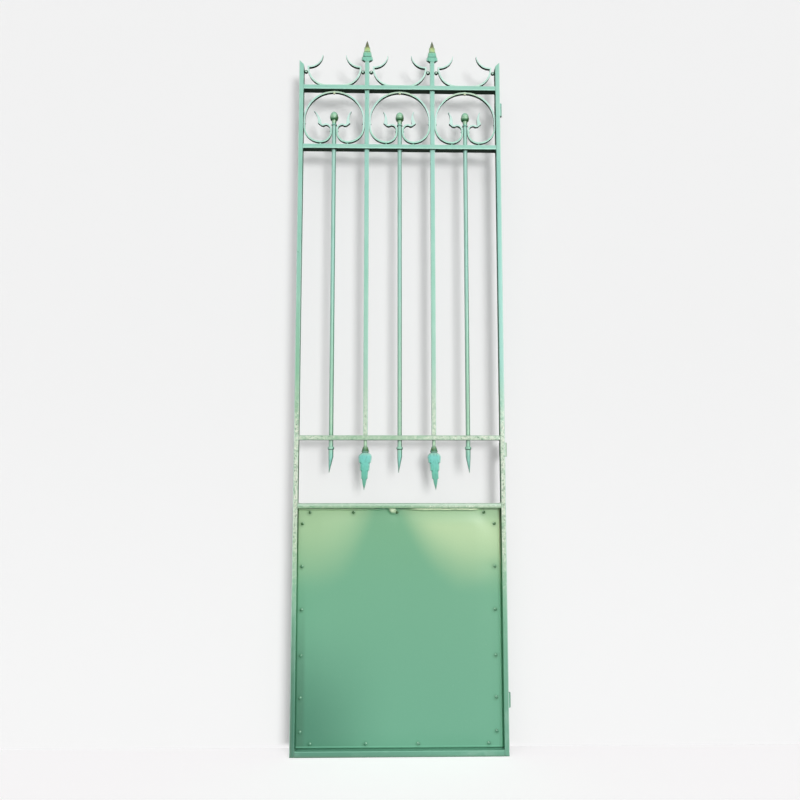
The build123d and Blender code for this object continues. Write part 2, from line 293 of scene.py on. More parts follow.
# Acorn tones by height: the pale stem and cup rim are painted highlights, the cup's lower part and the line
# at the nut's foot painted shade
ACORN_TONES = [(ACORN_SEAT + height, *seen) for height, *seen in (
    (0.0035, 142, 206, 186),
    (0.0050, 188, 224, 186),
    (0.0190, 186, 232, 194),
    (0.0205, 84, 146, 100),
    (0.0265, 88, 150, 104),
    (0.0285, 196, 240, 204),
    (0.0325, 190, 236, 200),
    (0.0338, 112, 168, 130),
    (0.0355, 186, 232, 200),
    (0.0410, 142, 194, 162),
    (0.0500, 140, 186, 160),
)]
SPIKE_TONES = [
    (0.920, 134, 156, 142),
    (0.945, 120, 184, 168),
    (0.970, 146, 216, 200),
    (1.010, 160, 216, 190),
    (1.040, 176, 216, 188),
]
STRIP_TONES = [(0.0, 96, 150, 124), (0.8, 118, 172, 140)]
RIVET_TONES = [
    (0.00, 96, 152, 126),
    (0.55, 96, 148, 114),
    (0.70, 84, 126, 82),
    (0.80, 70, 110, 66),
]
PANEL_TONES = [
    (0.00, 119, 178, 150),
    (0.30, 121, 179, 149),
    (0.55, 122, 180, 147),
    (0.80, 127, 182, 143),
]
TOP_SPEAR_TONES = [
    (2.400, 138, 206, 182),
    (2.436, 134, 202, 174),
    (2.444, 190, 214, 138),
    (2.454, 178, 196, 128),
    (2.459, 112, 108, 78),
    (2.482, 92, 88, 62),
]
DROP_SPEAR_TONES = [
    (0.864, 122, 140, 126),
    (0.882, 108, 172, 148),
    (0.930, 120, 206, 184),
    (0.980, 134, 218, 208),
    (0.990, 180, 232, 212),
    (0.993, 62, 96, 52),
    (1.007, 78, 116, 66),
    (1.011, 192, 228, 192),
    (1.034, 202, 234, 202),
]

# The hinge stile's front, which is sun-faded at half height
HINGE_STILE_TONES = [
    (1.00, 206, 234, 210),
    (1.15, 160, 208, 184),
    (1.30, 149, 207, 192),
    (1.60, 141, 207, 192),
    (1.90, 139, 205, 188),
]

# The stiles' sides towards the bars, their tones deepened as painted shade
INNER_SIDE_SHADE_TONES = [
    (0.00, 94, 160, 132),
    (0.40, 112, 180, 140),
    (0.55, 112, 178, 134),
    (0.68, 70, 116, 78),
    (0.79, 46, 76, 50),
    (0.81, 90, 132, 96),
    (1.15, 120, 156, 126),
    (1.60, 116, 152, 138),
    (1.90, 84, 120, 104),
    (2.10, 34, 80, 60),
]

# Painted shade on sides that face neither the front nor the sky
SIDE_SHADE_TONE = (62, 108, 84)
# Painted shade on undersides
UNDERSIDE_SHADE = (40, 58, 44)
PALE = (244, 250, 232)
CHALKY = (222, 234, 212)
MIDDLE_GREEN = (140, 184, 148)
SHEET_GREEN = (127, 182, 143)
SOIL = (106, 132, 114)
# Painted highlight on worn edges
EDGE_HIGHLIGHT = (208, 240, 226)
# Darker tone towards the latch side's foot
LATCH_FOOT_TONE = (62, 110, 92)
PALE_SIDE = (176, 208, 190)

# Coats laid over the base colour: strength, colour
DARK_MOTTLE = (0.30, 128, 186, 158)
PALE_MOTTLE = (0.22, 190, 226, 208)
# Painted shade on the round bars' sides near their feet
FOOT_SIDE_SHADE = (0.60, 84, 118, 92)
# Painted shade on the top faces of low ledges
LEDGE_TOP_SHADE = (0.65, 42, 104, 84)
DARK_SPECK = (0.65, 92, 136, 102)
# Painted shade in corners and crevices
CREVICE_SHADE = (0.60, 60, 88, 66)
RUST = (0.60, 120, 104, 74)
BLADE_MOTTLE = (0.45, 104, 176, 158)
# Leaf marks: pale rims, part wear and part painted highlight; painted shade on the sides and in the notches
BLADE_RIM_WEAR_AND_HIGHLIGHT = (0.65, 208, 242, 226)
BLADE_SIDE_SHADE = (0.75, 44, 84, 62)
BLADE_NOTCH_SHADE = (0.92, 40, 60, 42)
RIVET_DIRT_AND_SHADOW = (0.55, 62, 108, 78)
# Painted shade in the corner under the lip, and a painted highlight along the sheet's foot
LIP_CORNER_SHADE = (0.25, 72, 122, 92)
SHEET_FOOT_HIGHLIGHT = (0.50, 136, 202, 172)
SHEET_BACK = (0.50, 104, 156, 128)

# Noises: scale and detail, and where they aren't the usual ones, roughness and distortion
NOISES = {
    "border": (5.0, 3.0),
    "leaf_border": (110.0, 3.0),
    "mottle": (22.0, 4.0, 0.6),
    "chalk": (45.0, 3.0),
    "dapple": (115.0, 2.0),
    "flake": (165.0, 4.0, 0.65),
    "fine_flake": (420.0, 3.0),
    "speck": (210.0, 3.0, 0.6, 0.3),
    "rust": (60.0, 6.0, 0.7),
    "brush": (240.0, 3.0),
    "leaf": (230.0, 4.0, 0.6),
    "rim": (260.0, 4.0),
    "lobe": (4.0, 2.0),
    "dust": (460.0, 4.0, 0.6),
    "rivet_halo_grain": (240.0, 4.0),
    "lip": (60.0, 3.0),
    "peel": (170.0, 2.0),
    "cloud": (11.0, 3.0),
}

# Where a wear starts and where it is full, across the gate or by height, in metres
FLAKES_UP = (0.40, 0.84)
FLAKES_DOWN = (1.26, 1.04)
HINGE_SIDE = (-0.08, -0.02)
HINGE_END = (-0.34, -0.18)
LATCH_SIDE = (GATE_MIDDLE + 0.30, LATCH[0].x)
LATCH_FOOT_HEIGHTS = (0.60, 0.05)
OUTER_EDGE = (GATE_HALF - 0.012, GATE_HALF - 0.004)
OUTER_CORNER = (GATE_HALF - 0.008, GATE_HALF - 0.002)
OUTER_FOOT = (0.55, 0.25)
FLOOR_LINE = (0.010, 0.003)
LEDGE_FOOT = (0.10, 0.05)
BAR_FEET = (1.75, 1.10)

# Bands of heights: from, to, softness
BLEACHED_BAND = (1.10, 1.98, 0.12)
PALE_SIDE_BAND = (1.22, 1.66, 0.12)

# The greenest place of a rail, and how far the green reaches from it
RAIL_GREEN_SPOT = -0.43
RAIL_GREEN = (0.04, 0.34)

# Pale and dark lines along a member's edges, painted highlights and shade: where, strength, colour
LINE_HALF = 0.0012
STILE_LINES = (
    (LATCH[0].x + 0.0010, 0.45, 210, 234, 222),
    (HINGE[1].x - 0.0010, 0.45, 216, 240, 228),
)
RAIL_LINES = (
    (TOP_RAIL[0].z + 0.0028, 0.55, 192, 244, 224),
    (FRIEZE_RAIL[0].z + 0.0028, 0.75, 192, 244, 224),
    (SPEAR_RAIL[1].z - 0.0012, 0.60, 134, 170, 136),
    (SPEAR_RAIL[0].z + 0.0012, 0.30, 140, 178, 142),
    (LOCK_RAIL[1].z - 0.0014, 0.35, 134, 172, 142),
    (LOCK_RAIL[1].z - 0.0048, 0.75, 220, 246, 226),
    (LOCK_RAIL[0].z + 0.0014, 0.60, 116, 166, 112),
    (BOTTOM_RAIL[1].z - 0.0014, 0.50, 140, 198, 172),
    (BOTTOM_RAIL[0].z + 0.0040, 0.40, 130, 166, 144),
)

# Ways a surface can face: direction, start cosine, full cosine
DOWNWARD = ((0, 0, -1), 0.30, 0.80)
UPWARD = ((0, 0, 1), 0.75, 0.95)
BACKWARD = ((0, 1, 0), 0.20, 0.60)

# Painted light and shade on sides by the way they face: the way they face, strength, colour
PAINTED_UNDERSIDE_SHADE = (*DOWNWARD, 0.95, *UNDERSIDE_SHADE)
LOCK_UNDERSIDE_SHADE = (*DOWNWARD, 0.95, 112, 150, 98)
ACORN_UNDERSIDE_SHADE = (*DOWNWARD, 0.90, 62, 108, 74)
# Painted highlights and painted shade on round bars, spikes, acorns, balls and rivets
ROUND_LEFT_LIT = ((-0.85, -0.45, 0.25), 0.70, 0.97, 0.40, 196, 236, 220)
ROUND_RIGHT_SHADE = ((0.94, -0.20, -0.20), 0.45, 0.90, 0.60, 84, 128, 106)
SPIKE_SIDE_SHADE = ((0.94, -0.10, -0.30), 0.50, 0.90, 0.80, 44, 92, 70)
ACORN_LIT = ((-0.55, -0.62, 0.56), 0.78, 0.98, 0.50, 164, 226, 194)
ACORN_SHADE = ((0.82, -0.20, -0.50), 0.45, 0.88, 0.80, 66, 92, 56)
BALL_LIT = ((-0.12, -0.94, -0.24), 0.82, 0.95, 0.95, 230, 250, 238)
RIVET_LIT = ((0.52, -0.64, 0.56), 0.80, 0.96, 0.70, 196, 232, 206)
RIVET_SHADE = ((-0.60, -0.40, -0.68), 0.50, 0.90, 0.80, 38, 70, 46)


def by_height(tree, tones, drift, kind="border"):
    """Colour by height, its borders blurred by noise."""
    height = tree.axes(tree.place())[2]
    shift = tree.times(tree.less(tree.noise(kind), 0.5), 2 * drift)
    tree.colour = tree.tones(tree.plus(height, shift), tones)


def mottled(tree, streaks):
    """Slow changes of tone that follow the brush."""
    tone = tree.noise("mottle", streaks)
    tree.tint(tree.fade(tone, 0.50, 0.72), *DARK_MOTTLE)
    tree.tint(tree.fade(tone, 0.50, 0.30), *PALE_MOTTLE)


def shaded_bar_feet(tree, z):
    """Painted shade on the round bars' sides, deepening towards their feet."""
    facing = tree.absolute(tree.axes(tree.normal())[1])
    tree.tint(tree.times(tree.fade(facing, 0.92, 0.60), tree.fade(z, *BAR_FEET)), *FOOT_SIDE_SHADE)


def weathered_frame(tree, x, z, latch_foot_strength):
    """The hinge stile is sun-faded at half height; the latch side darkens towards its foot; the outer edges
    and the foot are soiled; the low ledges' top faces get painted shade.
    """
    hinge_side = tree.times(tree.fade(x, *HINGE_SIDE), tree.band(z, *BLEACHED_BAND))
    tree.cover(hinge_side, tree.tones(z, HINGE_STILE_TONES))
    latch_side = tree.fade(x, *LATCH_SIDE)
    tree.tint(tree.times(tree.fade(z, *LATCH_FOOT_HEIGHTS), latch_side), latch_foot_strength, *LATCH_FOOT_TONE)
    outer = tree.fade(tree.absolute(tree.less(x, GATE_MIDDLE)), *OUTER_EDGE)
    dirty = tree.math("MAXIMUM", tree.times(outer, tree.fade(z, *OUTER_FOOT)), tree.fade(z, *FLOOR_LINE))
    tree.tint(dirty, tree.plus(tree.times(latch_side, 0.35), 0.15), *SOIL)
    tree.tint(tree.times(tree.toward(*UPWARD), tree.fade(z, *LEDGE_FOOT)), *LEDGE_TOP_SHADE)


def worn_rail(tree, x, zone):
    """A rail is green and flakes less round one spot, and is chalky at its hinge end."""
    away = tree.fade(tree.absolute(tree.less(x, RAIL_GREEN_SPOT)), *RAIL_GREEN)
    tree.tint(tree.times(zone, tree.less(1.0, away)), 0.70, *MIDDLE_GREEN)
    tree.tint(tree.times(tree.fade(x, *HINGE_END), zone), 0.35, *CHALKY)
    return tree.times(zone, tree.plus(tree.times(away, 0.6), 0.4))


def flaked(tree, streaks, zone):
    """Chalky and chipped paint in the zone, with dark specks; returns the chips and the specks."""
    chalk = tree.fade(tree.noise("chalk", streaks), 0.36, 0.54)
    tree.tint(tree.times(zone, chalk), 0.60, *CHALKY)
    dapple = tree.noise("dapple")
    tree.tint(tree.times(zone, tree.fade(dapple, 0.54, 0.64)), 0.55, *PALE)
    tree.tint(tree.times(zone, tree.fade(dapple, 0.46, 0.36)), 0.60, *MIDDLE_GREEN)
    coarse = tree.times(tree.noise("flake", streaks), 0.7)
    flake = tree.plus(coarse, tree.times(tree.noise("fine_flake"), 0.3))
    chips = tree.patches(flake, tree.less(0.68, tree.times(zone, 0.16)), 30.0)
    tree.tint(chips, 0.75, *PALE)
    speck = tree.noise("speck", streaks)
    specks = tree.patches(speck, tree.less(0.70, tree.times(zone, 0.115)), 30.0)
    tree.tint(specks, *DARK_SPECK)
    return chips, specks


def lined(tree, lines, member, x, z):
    """Lines of painted highlight and shade, which run up a stile and fade at its foot, or run along a rail.
    """
    upright = member == "stile"
    for spot, *coat in lines:
        share = tree.band(x if upright else z, spot - LINE_HALF, spot + LINE_HALF, LINE_HALF)
        if upright:
            share = tree.times(share, tree.fade(z, -0.20, 0.60))
        tree.tint(share, *coat)


def highlighted_edge(tree, member, strength, x, z):
    """Worn edges get a painted highlight: a stile's outer ones, and any others more the higher they are."""
    if member == "stile":
        outer = tree.fade(tree.absolute(tree.less(x, GATE_MIDDLE)), *OUTER_CORNER)
        share = tree.plus(tree.times(outer, 0.8), 0.2)
    else:
        share = tree.fade(z, -0.10, 0.90)
    tree.tint(share, strength, *EDGE_HIGHLIGHT)


def shaded_inner_side(tree, x, z):
    """A stile's side towards the bars, in painted shade: deep green above and below, pale on the latch stile
    between.
    """
    across = tree.axes(tree.normal())[0]
    share = tree.times(tree.fade(tree.times(across, tree.inward()), 0.30, 0.80), 0.95)
    pale = tree.times(tree.fade(x, GATE_MIDDLE, LATCH[1].x), tree.band(z, *PALE_SIDE_BAND))
    tree.cover(share, tree.mix(tree.times(pale, 0.75), tree.tones(z, INNER_SIDE_SHADE_TONES), paint(*PALE_SIDE)))
    return share


def painted_side_shade(tree, strength):
    """Painted shade: sides that face neither the front nor the sky are deeper in tone."""
    _, facing, tilt = tree.axes(tree.normal())
    share = tree.times(tree.fade(tree.absolute(facing), 0.80, 0.30), tree.fade(tilt, 0.9, 0.1))
    tree.tint(share, strength, *SIDE_SHADE_TONE)


def enamel(name, tones, member="plain", grain=(1, 1, 0.5), flakes=1.0, edge=0.0, roughness=0.34,
           side_shade=0.85, lines=(), tints=(PAINTED_UNDERSIDE_SHADE,), mirror=False, drift=0.03):
    """Aged gloss enamel: sun-faded, flaking in one band of heights, with painted shade in corners, on sides
    and undersides, and painted highlights on worn edges.
    """
    tree = Nodes(bpy.data.materials.new(name))
    x, _, z = tree.axes(tree.place())
    streaks = tree.place(grain)
    by_height(tree, tones, drift)
    mottled(tree, streaks)
    zone = tree.times(tree.fade(z, *FLAKES_UP), tree.fade(z, *FLAKES_DOWN), flakes)
    if member == "round_bar":
        shaded_bar_feet(tree, z)
    if member in ("stile", "rail"):
        weathered_frame(tree, x, z, 0.72 if member == "stile" else 0.40)
    if member == "rail":
        zone = worn_rail(tree, x, zone)
    chips, specks = flaked(tree, streaks, zone)
    lined(tree, lines, member, x, z)
    tree.tint(tree.patches(tree.noise("rust"), 0.70, 14.0), *RUST)
    dull = tree.times(tree.toward(*DOWNWARD), 0.95)
    if edge:
        highlighted_edge(tree, member, edge, x, z)
        tints = ()
    elif member == "stile":
        inner = shaded_inner_side(tree, x, z)
        dull = tree.math("MAXIMUM", dull, tree.times(inner, 0.9))
    else:
        painted_side_shade(tree, side_shade)
    for direction, start, full, *coat in tints:
        tree.tint(tree.toward(direction, start, full, mirror), *coat)
    # Painted shade in corners and crevices
    tree.tint(tree.crevice(0.012), *CREVICE_SHADE)
    brush = tree.noise("brush", streaks)
    height = tree.plus(tree.times(chips, -0.55), tree.times(brush, 0.30))
    height = tree.plus(height, tree.times(specks, -0.8))
    gloss = tree.plus(tree.plus(roughness, tree.times(brush, 0.10)), tree.times(chips, 0.2))
    return tree.finish(gloss, height, 0.0007, dull)


def blade_paint(name, tones, drift):
    """Enamel on a leaf, by height, with painted shade on its sides, underside, corners and notches; its pale
    rims are part wear and part painted highlight.
    """
    tree = Nodes(bpy.data.materials.new(name))
    by_height(tree, tones, drift, "leaf_border")
    mottle = tree.noise("leaf", tree.place((1, 1, 0.35)))
    tree.tint(tree.fade(mottle, 0.46, 0.66), *BLADE_MOTTLE)
    grain = tree.fade(tree.noise("rim"), 0.34, 0.50)
    tree.tint(tree.times(tree.mark("rim"), grain), *BLADE_RIM_WEAR_AND_HIGHLIGHT)
    facing = tree.absolute(tree.axes(tree.normal())[1])
    tree.tint(tree.fade(facing, 0.60, 0.15), *BLADE_SIDE_SHADE)
    notch = tree.mark("notch")
    tree.tint(notch, *BLADE_NOTCH_SHADE)
    # Painted shade on the leaf's undersides
    below = tree.toward(*DOWNWARD)
    tree.tint(below, 0.9, *UNDERSIDE_SHADE)
    tree.tint(tree.crevice(0.006, 0.4, 0.9), *CREVICE_SHADE)
    dull = tree.math("MAXIMUM", tree.times(below, 0.9), tree.times(notch, 0.8))
    return tree.finish(tree.plus(0.34, tree.times(mottle, 0.2)), mottle, 0.0006, dull)


# Pale lobes of painted sheen at the sheet's top corners, standing in for the sky's reflection on the buckled
# sheet: start, reach, foot, climb, softness, strength
SHEEN_LOBES = (
    (SHEET[1].x - 0.045, -0.250, 0.612, 0.142, 0.104, 0.96),
    (SHEET[0].x + 0.010, 0.195, 0.622, 0.126, 0.130, 0.66),
)
LOBE_DRIFT = 0.06
LOBE_POWER = 3.0
LOBE_SHEEN = (190, 219, 172)

# Shades on the sheet, each with its fades across and up: under the lock rail, below the hinge-side
# lobe, in the lower latch-side corner and along that side's rivets
SHEET_SHADES = (
    ((-0.38, -0.28), ((0.738, 0.782),), 0.34, *SHEET_GREEN),
    ((SHEET[1].x - 0.090, SHEET[1].x - 0.020), ((0.505, 0.540), (0.645, 0.610)), 0.30, *SHEET_GREEN),
    ((SHEET[0].x + 0.340, SHEET[0].x), ((0.46, 0.06),), 0.80, 84, 134, 112),
    ((SHEET[0].x + 0.034, SHEET[0].x + 0.020), ((0.60, 0.20),), 0.40, 86, 122, 102),
)

# The sheet's edges: a painted highlight along its foot, the strip beside the hinge stile brightened with
# painted light, and the bare edge there
SHEET_FOOT_HIGHLIGHT_BAND = (SHEET[0].z + 0.004, SHEET[0].z + 0.006, 0.002)
# Painted light on the strip beside the hinge stile, making up for the stile's shadow
GLARE_STRIP = (SHEET[1].x - 0.0105, SHEET[1].x - 0.0050)
GLARE = (1.85, 1.80, 1.78, 1.0)
BARE_STRIP = (SHEET[1].x - 0.0060, SHEET[1].x - 0.0035)
BARE_HEIGHTS = (0.50, 0.66)
BARE_EDGE = (0.92, 0.96, 0.60, 1.0)
# Painted highlight on the rolled lip and the tear
LIP_HIGHLIGHT = (0.84, 1.0, 0.68, 1.0)


def painted_sheen(tree, x, z):
    """Lobes of painted sheen, each above a border that climbs away from its corner."""
    drift = tree.times(tree.less(tree.noise("lobe"), 0.5), LOBE_DRIFT)
    for start, reach, foot, climb, soft, strength in SHEEN_LOBES:
        away = tree.times(tree.less(x, start), 1 / reach)
        curve = tree.math("POWER", tree.math("MAXIMUM", away, 0.0), LOBE_POWER)
        rise = tree.plus(tree.less(z, tree.plus(tree.times(curve, climb), foot)), drift)
        tree.tint(tree.fade(rise, -soft, soft), strength, *LOBE_SHEEN)


def sheet_edges(tree, x, z):
    """Painted highlights on the lip and along the sheet's foot, painted shade in the corner under the lip,
    and the pale edge beside the hinge stile with painted light on the strip there.
    """
    lip = tree.mark("lip")
    # Painted shade in the corner under the lip
    lip_corner_shade = tree.times(tree.crevice(0.004, 0.20, 0.60), tree.fade(lip, 0.4, 0.1))
    tree.tint(lip_corner_shade, *LIP_CORNER_SHADE)
    tree.tint(tree.band(z, *SHEET_FOOT_HIGHLIGHT_BAND), *SHEET_FOOT_HIGHLIGHT)
    broken = tree.fade(tree.noise("lip", tree.place((1, 1, 3))), 0.30, 0.55)
    lip_share = tree.times(tree.fade(lip, 0.25, 0.95), tree.plus(tree.times(broken, 0.35), 0.60))
    tree.cover(lip_share, LIP_HIGHLIGHT)
    # Painted light on the strip in the hinge stile's shadow
    tree.cover(tree.fade(x, *GLARE_STRIP), GLARE, "MULTIPLY")
    bare = tree.times(tree.fade(x, *BARE_STRIP), tree.fade(z, *BARE_HEIGHTS))
    tree.cover(tree.times(bare, 0.45), BARE_EDGE)


def panel_enamel(name):
    """Smooth glossy enamel of the sheet: painted sheen in two lobes, deeper in its lower left corner."""
    tree = Nodes(bpy.data.materials.new(name))
    x, _, z = tree.axes(tree.place())
    tree.colour = tree.tones(z, PANEL_TONES)
    painted_sheen(tree, x, z)
    for across, heights, *coat in SHEET_SHADES:
        share = tree.times(tree.fade(x, *across), *[tree.fade(z, *height) for height in heights])
        tree.tint(share, *coat)
    tree.tint(tree.fade(tree.noise("dust"), 0.66, 0.74), 0.22, *PALE)
    # Dirt and painted shadow round each rivet head
    grainy = tree.fade(tree.noise("rivet_halo_grain"), 0.25, 0.55)
    tree.tint(tree.times(tree.mark("halo"), grainy), *RIVET_DIRT_AND_SHADOW)
    sheet_edges(tree, x, z)
    tree.tint(tree.toward(*BACKWARD), *SHEET_BACK)
    roughness = tree.plus(0.44, tree.times(tree.noise("cloud"), 0.12))
    return tree.finish(roughness, tree.noise("peel"), 0.00018)


# Settings that several enamels share
RAIL = {"member": "rail", "grain": (0.5, 1, 1), "lines": RAIL_LINES}
LUMP = {"grain": (1, 1, 1), "flakes": 0.0}
ENAMELS = {
    "stile": dict(tones=FRAME_TONES, member="stile", lines=STILE_LINES),
    "stile_edge": dict(tones=FRAME_TONES, member="stile", edge=0.75),
    "rail": dict(tones=FRAME_TONES, **RAIL),
    "rail_edge": dict(tones=FRAME_TONES, edge=0.35, **RAIL),
    "lock_rail": dict(tones=LOCK_TONES, flakes=0.7, tints=(LOCK_UNDERSIDE_SHADE,), **RAIL),
    "lock_rail_edge": dict(tones=LOCK_TONES, flakes=0.7, edge=0.2, **RAIL),
    "bar": dict(tones=BAR_TONES, flakes=0.7),
    "bar_edge": dict(tones=BAR_TONES, flakes=0.7, edge=0.6),
    "round_bar": dict(tones=ROUND_BAR_TONES, member="round_bar", flakes=0.2, side_shade=0.25,
                      tints=(PAINTED_UNDERSIDE_SHADE, ROUND_LEFT_LIT, ROUND_RIGHT_SHADE)),
    "scroll": dict(tones=SCROLL_TONES, flakes=0.0, side_shade=0.95),
    "scroll_edge": dict(tones=SCROLL_TONES, flakes=0.0, edge=0.4),
    "finial": dict(tones=ACORN_TONES, side_shade=0.5, drift=0.001,
                   tints=(ACORN_UNDERSIDE_SHADE, ACORN_LIT, ACORN_SHADE), **LUMP),
    "ball": dict(tones=BALL_TONES, side_shade=1.0, tints=(PAINTED_UNDERSIDE_SHADE, BALL_LIT), **LUMP),
    "knob": dict(tones=KNOB_TONES, side_shade=0.5, **LUMP),
    "spike": dict(tones=SPIKE_TONES, flakes=0.1, side_shade=0.8,
                  tints=(PAINTED_UNDERSIDE_SHADE, ROUND_LEFT_LIT, SPIKE_SIDE_SHADE)),
    "strip": dict(tones=STRIP_TONES, flakes=0.1),
    "rivet": dict(tones=RIVET_TONES, roughness=0.32, side_shade=0.5, mirror=True,
                  tints=(RIVET_SHADE, RIVET_LIT), **LUMP),
    "hinge": dict(tones=FRAME_TONES, flakes=0.3),
    "weld": dict(tones=FRAME_TONES, flakes=0.6, side_shade=0.5),
}
FINISHES = {name: enamel(f"{name}_enamel", **settings) for name, settings in ENAMELS.items()}
FINISHES["top_spear"] = blade_paint("top_spear_enamel", TOP_SPEAR_TONES, 0.007)
FINISHES["drop_spear"] = blade_paint("drop_spear_enamel", DROP_SPEAR_TONES, 0.002)
FINISHES["panel"] = panel_enamel("panel_enamel")

# Carried-over nodes, by the first row that fits: finish, finish of worn edges with their painted highlight,
# edge rounding, its steps
DRESSES = (
    ("*_stile", "stile", "stile_edge", 0.0018, 3),
    ("lock_rail", "lock_rail", "lock_rail_edge", 0.0016, 3),
    ("*_rail", "rail", "rail_edge", 0.0016, 3),
    ("square_bar_*", "bar", "bar_edge", 0.0018, 3),
    ("round_bar_*", "round_bar"),
    ("drop_spike_*", "spike"),
    ("loop_scroll_*", "scroll", "scroll_edge", 0.0006),
    ("crest_balls", "ball"),
    ("crest_*", "scroll", "scroll_edge", 0.0006),
    ("panel_strip_*", "strip", None, 0.0005),
    ("hinge_knuckle_*", "hinge", None, 0.0006),
    ("scroll_rivets", "scroll"),
)
WELD_DISTANCE = 0.00002
SHARP_ANGLE = 35


def dress(node, finish, edge=None, bevel=0.0, segments=2):
    """Gives a carried-over node its finish and, where wanted, worn rounded edges."""
    obj = nodes[node]
    obj.data.materials.clear()
    obj.data.materials.append(FINISHES[finish])
    if edge:
        obj.data.materials.append(FINISHES[edge])
    if bevel:
        weld = obj.modifiers.new("join", "WELD")
        weld.merge_threshold = WELD_DISTANCE
        worn = obj.modifiers.new("worn", "BEVEL")
        worn.width = bevel
        worn.segments = segments
        worn.limit_method = "ANGLE"
        worn.angle_limit = math.radians(SHARP_ANGLE)
        if edge:
            worn.material = 1
        obj.modifiers.new("shade", "WEIGHTED_NORMAL")


def dress_frame():
    """Dresses every node that stays in sight."""
    for node in nodes:
        for pattern, *settings in DRESSES:
            if fnmatch(node, pattern):
                dress(node, *settings)
                break


def new_object(name, data):
    obj = bpy.data.objects.new(name, data)
    bpy.context.scene.collection.objects.link(obj)
    return obj


def new_piece(name, mesh, finish, replaced=None, crease=None):
    """Adds a mesh as a piece of the gate, smooth but for edges bent by more than the crease angle."""
    obj = new_object(name, mesh)
    mesh.materials.append(FINISHES[finish])
    for polygon in mesh.polygons:
        polygon.use_smooth = True
    if crease:
        mesh.set_sharp_from_angle(angle=math.radians(crease))
    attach(obj, BODY)
    if replaced:
        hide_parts(replaced)
    return obj


def grid_mesh(name, rows, closed=False, capped=False):
    """Mesh through rows of equally many points, each row closed to a ring and the ends capped if asked."""
    mesh = bpy.data.meshes.new(name)
    width = len(rows[0])
    points = [p for row in rows for p in row]
    columns = width if closed else width - 1
    faces = [
        (r * width + c, r * width + (c + 1) % width, (r + 1) * width + (c + 1) % width, (r + 1) * width + c)
        for r in range(len(rows) - 1) for c in range(columns)
    ]
    if capped:
        last = len(points) - width
        faces += [tuple(range(width)), tuple(range(last, last + width))]
    mesh.from_pydata(points, [], faces)
    return mesh


def add_marks(mesh, name, values):
    """Point attribute that a material reads."""
    marks = mesh.attributes.new(name, "FLOAT", "POINT")
    for item, value in zip(marks.data, values):
        item.value = value


def join_meshes(name, meshes):
    """One mesh from several, with doubled points merged."""
    joined = bmesh.new()
    for mesh in meshes:
        joined.from_mesh(mesh)
        bpy.data.meshes.remove(mesh)
    bmesh.ops.remove_doubles(joined, verts=joined.verts, dist=0.00001)
    bmesh.ops.recalc_face_normals(joined, faces=joined.faces)
    result = bpy.data.meshes.new(name)
    joined.to_mesh(result)
    joined.free()
    return result


# Points of a rivet head lie closer together than this
RIVET_SPAN = 0.013


def find_rivets():
    """Centres of the panel's rivet heads, read from their node."""
    groups = []
    for point in sorted((v.co.copy() for v in nodes["panel_rivets"].data.vertices), key=lambda p: (p.x, p.z)):
        for group in groups:
            if (group[0] - point).length < RIVET_SPAN:
                group.append(point)
                break
        else:
            groups.append([point])
    rivets = []
    for group in groups:
        low = [min(p[axis] for p in group) for axis in range(3)]
        high = [max(p[axis] for p in group) for axis in range(3)]
        rivets.append(((low[0] + high[0]) / 2, high[1], (low[2] + high[2]) / 2))
    return rivets


RIVETS = find_rivets()


def rivet_distance(x, z):
    return min(math.hypot(x - rx, z - rz) for rx, _, rz in RIVETS)


def smooth(value):
    share = min(1.0, max(0.0, value))
    return share * share * (3 - 2 * share)


def hill(x, z, centre_x, centre_z, wide, tall):
    return math.exp(-((x - centre_x) / wide) ** 2 - ((z - centre_z) / tall) ** 2)


# Lip rolled at the sheet's top edge: its two ends, each with the run to its full height, the lower lip
# on the latch side, its profile, and how its line wavers
LIP_LEFT, LIP_LEFT_RUN = -0.345, 0.05
LIP_RIGHT, LIP_RIGHT_RUN = -0.070, 0.04
LATCH_LIP, LATCH_LIP_RUN, LATCH_LIP_SHARE = -0.41, 0.03, 0.40
LIP_RISE = 0.0190
LIP_TALL = 0.0046
LIP_TURN = 0.0012
LIP_START = 0.35
LIP_FOOT = 0.0036
LIP_WAVER, LIP_WAVES, LIP_SEED = 0.0012, 38.0, 7.0


def lip_share(x, z):
    """1 on the crest of the sheet's rolled top edge, which is slight left of the gate's middle."""
    rolled = smooth((x - LIP_LEFT) / LIP_LEFT_RUN) * smooth((LIP_RIGHT - x) / LIP_RIGHT_RUN)
    below = SHEET[1].z - z + LIP_WAVER * noise.noise(Vector((x * LIP_WAVES, LIP_SEED, 0.0)))
    slight = LATCH_LIP_SHARE * smooth((LATCH_LIP - x) / LATCH_LIP_RUN)
    profile = smooth(below / LIP_TURN + LIP_START) * (1 - smooth((below - LIP_TALL) / LIP_FOOT))
    return max(rolled, slight) * profile


# Tear in the sheet's top edge
TEAR_X = -0.386
TEAR_HALF = 0.019
TEAR_SLANT = 0.012
TEAR_DEPTH = 0.025
TEAR_RISE = 0.0120
TEAR_STEEP = 1.6
# Share of the lip's painted highlight that the tear gets
TEAR_LIP_SHARE = 0.8


def tear_share(x, z):
    """1 at the top of the small torn and bent place near the gate's middle."""
    down = (SHEET[1].z - z) / TEAR_DEPTH
    across = abs(x - TEAR_X - TEAR_SLANT * down) / TEAR_HALF
    return smooth(TEAR_STEEP * (1 - across)) * smooth(TEAR_STEEP * (1 - down))


# Buckles of the sheet: a slow wave, and two swells given by height, centre and half sizes
WAVE_MEAN, WAVE_TALL = 0.0022, 0.0030
WAVES_ACROSS, WAVES_UP, WAVE_SEED = 2.6, 2.1, 4.2
SWELLS = ((0.0030, -0.22, 0.70, 0.17, 0.13), (0.0026, -0.60, 0.72, 0.11, 0.12))
